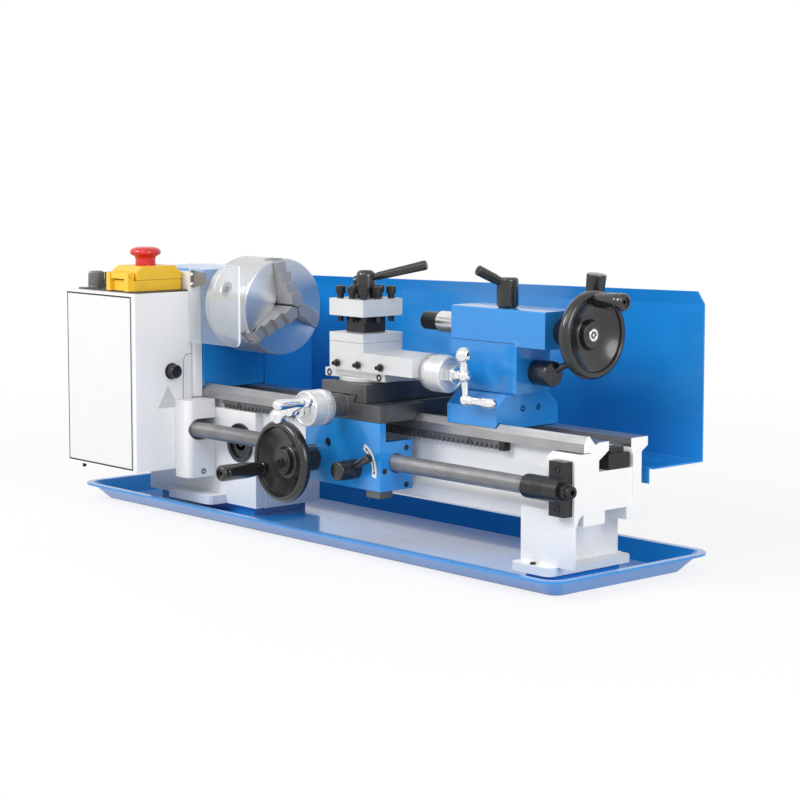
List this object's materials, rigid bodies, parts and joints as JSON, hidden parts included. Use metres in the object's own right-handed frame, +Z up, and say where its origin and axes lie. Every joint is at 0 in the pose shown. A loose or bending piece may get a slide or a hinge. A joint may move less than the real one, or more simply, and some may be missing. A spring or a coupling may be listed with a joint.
{
  "type": "metal lathe",
  "caption": "Benchtop metal-turning lathe with three-jaw chuck, carriage with compound slide, tailstock, leadscrew feed, chip tray and splash guard.",
  "frame": {"origin": "centre of the chip tray's underside", "axes": "+X along the spindle towards the tailstock, -Y towards the operator, +Z up"},
  "size_m": [0.72, 0.295, 0.2765],
  "materials": {
    "blue_paint": "glossy blue enamel",
    "white_enamel": "white textured enamel",
    "ground_steel": "ground and turned steel",
    "cast_iron": "machined grey iron",
    "black_plastic": "moulded black",
    "black_oxide": "blackened steel",
    "yellow_plastic": "moulded yellow",
    "red_plastic": "moulded red",
    "clear_plastic": "clear sheet",
    "grey_plastic": "moulded grey",
    "brass": "machined",
    "rubber": "moulded rubber"
  },
  "bodies": {
    "base": {"chip_tray": "blue_paint", "lathe_bed": "white_enamel", "port_ring": "black_plastic", "bed_stop": "black_oxide", "feed_rack": "black_oxide", "screw_bracket_left": "cast_iron", "screw_bracket_right": "black_oxide", "headstock": "blue_paint", "headstock_cover": "white_enamel", "spindle_bearing_front": "ground_steel", "spindle_bearing_rear": "ground_steel", "control_box": "white_enamel", "control_panel": "grey_plastic", "screw_cover": "white_enamel", "motor_cover": "blue_paint", "drive_motor": "black_oxide", "drive_belt": "rubber", "gear_cover": "white_enamel", "estop_base": "yellow_plastic", "splash_guard": "blue_paint"},
    "spindle": {"spindle": "ground_steel", "spindle_gear": "black_oxide", "spindle_pulley": "cast_iron", "chuck_backplate": "cast_iron", "chuck_body": "ground_steel"},
    "scroll": {"chuck_scroll": "black_oxide"},
    "jaw_1": {"chuck_jaw_1": "ground_steel"},
    "jaw_2": {"chuck_jaw_2": "ground_steel"},
    "jaw_3": {"chuck_jaw_3": "ground_steel"},
    "key_pinion": {"chuck_pinion": "ground_steel"},
    "idler": {"idler_gear": "black_oxide"},
    "feed_screw": {"leadscrew": "cast_iron", "leadscrew_gear": "black_oxide"},
    "motor_shaft": {"motor_pulley": "ground_steel"},
    "carriage": {"saddle": "cast_iron", "apron": "blue_paint"},
    "feed_wheel": {"carriage_wheel": "black_plastic"},
    "feed_pinion": {"rack_pinion": "black_oxide"},
    "nut_upper": {"half_nut_upper": "brass"},
    "nut_lower": {"half_nut_lower": "brass"},
    "nut_lever": {"half_nut_lever": "black_oxide"},
    "cross": {"cross_slide": "cast_iron"},
    "cross_crank": {"cross_handle": "ground_steel"},
    "swivel": {"compound_base": "ground_steel"},
    "top": {"compound_slide": "ground_steel"},
    "top_crank": {"compound_handle": "ground_steel"},
    "post": {"tool_post": "ground_steel"},
    "post_lever": {"tool_lever": "black_plastic"},
    "tailstock": {"tailstock_base": "blue_paint", "tailstock_body": "blue_paint"},
    "quill": {"quill": "ground_steel", "dead_centre": "black_oxide"},
    "quill_wheel": {"tail_wheel": "black_plastic"},
    "quill_lock": {"quill_lever": "black_plastic"},
    "bed_clamp": {"clamp_lever": "black_plastic"},
    "guard": {"chuck_guard": "clear_plastic"},
    "stop_lid": {"estop_lid": "yellow_plastic"},
    "stop_button": {"estop_button": "red_plastic"},
    "knob": {"speed_knob": "grey_plastic"},
    "switch": {"direction_switch": "black_plastic"}
  },
  "joints": [
    {"name": "spindle_turn", "type": "hinge", "parent": "base", "child": "spindle", "pos_m": [-0.218, 0, 0.216], "axis": [1, 0, 0], "continuous": true},
    {"name": "idler_turn", "type": "hinge", "parent": "base", "child": "idler", "pos_m": [-0.316, -0.01514, 0.14766], "axis": [1, 0, 0], "continuous": true},
    {"name": "leadscrew_turn", "type": "hinge", "parent": "base", "child": "feed_screw", "pos_m": [0, -0.064, 0.0875], "axis": [1, 0, 0], "continuous": true},
    {"name": "motor_turn", "type": "hinge", "parent": "base", "child": "motor_shaft", "pos_m": [-0.316, 0.076, 0.16], "axis": [1, 0, 0], "continuous": true},
    {"name": "scroll_turn", "type": "hinge", "parent": "spindle", "child": "scroll", "pos_m": [-0.196, 0, 0.216], "axis": [1, 0, 0], "range_deg": [0, 350]},
    {"name": "jaw_1_slide", "type": "slide", "parent": "spindle", "child": "jaw_1", "axis": [0, -0.1392, 0.9903], "range_m": [0, 0.008]},
    {"name": "jaw_2_slide", "type": "slide", "parent": "spindle", "child": "jaw_2", "axis": [0, -0.788, -0.6157], "range_m": [0, 0.008]},
    {"name": "jaw_3_slide", "type": "slide", "parent": "spindle", "child": "jaw_3", "axis": [0, 0.9272, -0.3746], "range_m": [0, 0.008]},
    {"name": "key_pinion_turn", "type": "hinge", "parent": "spindle", "child": "key_pinion", "pos_m": [-0.168, 0, 0.216], "axis": [0, -0.9272, 0.3746], "continuous": true},
    {"name": "carriage_slide", "type": "slide", "parent": "base", "child": "carriage", "axis": [1, 0, 0], "range_m": [-0.1, 0.03]},
    {"name": "carriage_wheel_turn", "type": "hinge", "parent": "carriage", "child": "feed_wheel", "pos_m": [0.017, -0.127, 0.0838], "axis": [0, 1, 0], "continuous": true},
    {"name": "rack_pinion_turn", "type": "hinge", "parent": "carriage", "child": "feed_pinion", "pos_m": [0.04, 0, 0.101], "axis": [0, 1, 0], "continuous": true},
    {"name": "half_nut_lever_turn", "type": "hinge", "parent": "carriage", "child": "nut_lever", "pos_m": [0.08, -0.084, 0.08], "axis": [0, 1, 0], "range_deg": [0, 50]},
    {"name": "half_nut_upper_slide", "type": "slide", "parent": "carriage", "child": "nut_upper", "axis": [0, 0, -1], "range_m": [0, 0.0038]},
    {"name": "half_nut_lower_slide", "type": "slide", "parent": "carriage", "child": "nut_lower", "axis": [0, 0, 1], "range_m": [0, 0.0038]},
    {"name": "cross_slide_travel", "type": "slide", "parent": "carriage", "child": "cross", "axis": [0, 1, 0], "range_m": [-0.02, 0.002]},
    {"name": "cross_crank_turn", "type": "hinge", "parent": "carriage", "child": "cross_crank", "pos_m": [0.061, -0.147, 0.1388], "axis": [0, 1, 0], "continuous": true},
    {"name": "compound_swivel", "type": "hinge", "parent": "cross", "child": "swivel", "pos_m": [0.061, -0.048, 0.16], "axis": [0, 0, 1], "range_deg": [-45, 0]},
    {"name": "compound_travel", "type": "slide", "parent": "swivel", "child": "top", "axis": [1, 0, 0], "range_m": [-0.01, 0.02]},
    {"name": "compound_crank_turn", "type": "hinge", "parent": "top", "child": "top_crank", "pos_m": [0.195, -0.052, 0.1745], "axis": [1, 0, 0], "continuous": true},
    {"name": "tool_post_turn", "type": "hinge", "parent": "top", "child": "post", "pos_m": [0.0585, -0.052, 0.1977], "axis": [0, 0, 1], "continuous": true},
    {"name": "tool_lever_turn", "type": "hinge", "parent": "top", "child": "post_lever", "pos_m": [0.0585, -0.052, 0.238], "axis": [0, 0, 1], "range_deg": [-60, 20]},
    {"name": "tailstock_slide", "type": "slide", "parent": "base", "child": "tailstock", "axis": [1, 0, 0], "range_m": [0, 0.08]},
    {"name": "quill_travel", "type": "slide", "parent": "tailstock", "child": "quill", "axis": [1, 0, 0], "range_m": [-0.02, 0.04]},
    {"name": "tail_wheel_turn", "type": "hinge", "parent": "tailstock", "child": "quill_wheel", "pos_m": [0.309, 0, 0.216], "axis": [1, 0, 0], "continuous": true},
    {"name": "quill_lock_turn", "type": "hinge", "parent": "tailstock", "child": "quill_lock", "pos_m": [0.205, -0.008, 0.235], "axis": [0, 0, 1], "range_deg": [0, 60]},
    {"name": "bed_clamp_turn", "type": "hinge", "parent": "tailstock", "child": "bed_clamp", "pos_m": [0.2304, 0.004, 0.177], "axis": [-1, 0, 0], "range_deg": [0, 40]},
    {"name": "chuck_guard_hinge", "type": "hinge", "parent": "base", "child": "guard", "pos_m": [-0.218, -0.046, 0.2435], "axis": [-1, 0, 0], "range_deg": [0, 80]},
    {"name": "estop_lid_hinge", "type": "hinge", "parent": "base", "child": "stop_lid", "pos_m": [-0.2545, -0.119, 0.2473], "axis": [1, 0, 0], "range_deg": [0, 95]},
    {"name": "estop_press", "type": "slide", "parent": "stop_lid", "child": "stop_button", "axis": [0, 0, 1], "range_m": [-0.003, 0], "stiffness_N_per_m": 400, "springref_m": 0.002},
    {"name": "speed_knob_turn", "type": "hinge", "parent": "base", "child": "knob", "pos_m": [-0.316, -0.108, 0.2318], "axis": [0, 0, 1], "range_deg": [0, 270]},
    {"name": "direction_switch_turn", "type": "hinge", "parent": "base", "child": "switch", "pos_m": [-0.3285, -0.081, 0.2318], "axis": [0, 0, 1], "range_deg": [-45, 45]}
  ],
  "couplings": [
    {"joint": "idler_turn", "follows": "spindle_turn", "ratio": -0.47368},
    {"joint": "leadscrew_turn", "follows": "spindle_turn", "ratio": 0.75},
    {"joint": "motor_turn", "follows": "spindle_turn", "ratio": 2.25},
    {"joint": "jaw_1_slide", "follows": "scroll_turn", "m_per_rad": 0.0012732},
    {"joint": "jaw_2_slide", "follows": "scroll_turn", "m_per_rad": 0.0012732},
    {"joint": "jaw_3_slide", "follows": "scroll_turn", "m_per_rad": 0.0012732},
    {"joint": "key_pinion_turn", "follows": "scroll_turn", "ratio": -3},
    {"joint": "carriage_wheel_turn", "follows": "carriage_slide", "rad_per_m": 227.27},
    {"joint": "rack_pinion_turn", "follows": "carriage_slide", "rad_per_m": -90.909},
    {"joint": "half_nut_upper_slide", "follows": "half_nut_lever_turn", "m_per_rad": 0.0043},
    {"joint": "half_nut_lower_slide", "follows": "half_nut_lever_turn", "m_per_rad": 0.0043},
    {"joint": "cross_crank_turn", "follows": "cross_slide_travel", "rad_per_m": 6283.2},
    {"joint": "compound_crank_turn", "follows": "compound_travel", "rad_per_m": 6283.2},
    {"joint": "tail_wheel_turn", "follows": "quill_travel", "rad_per_m": 4188.8}
  ]
}
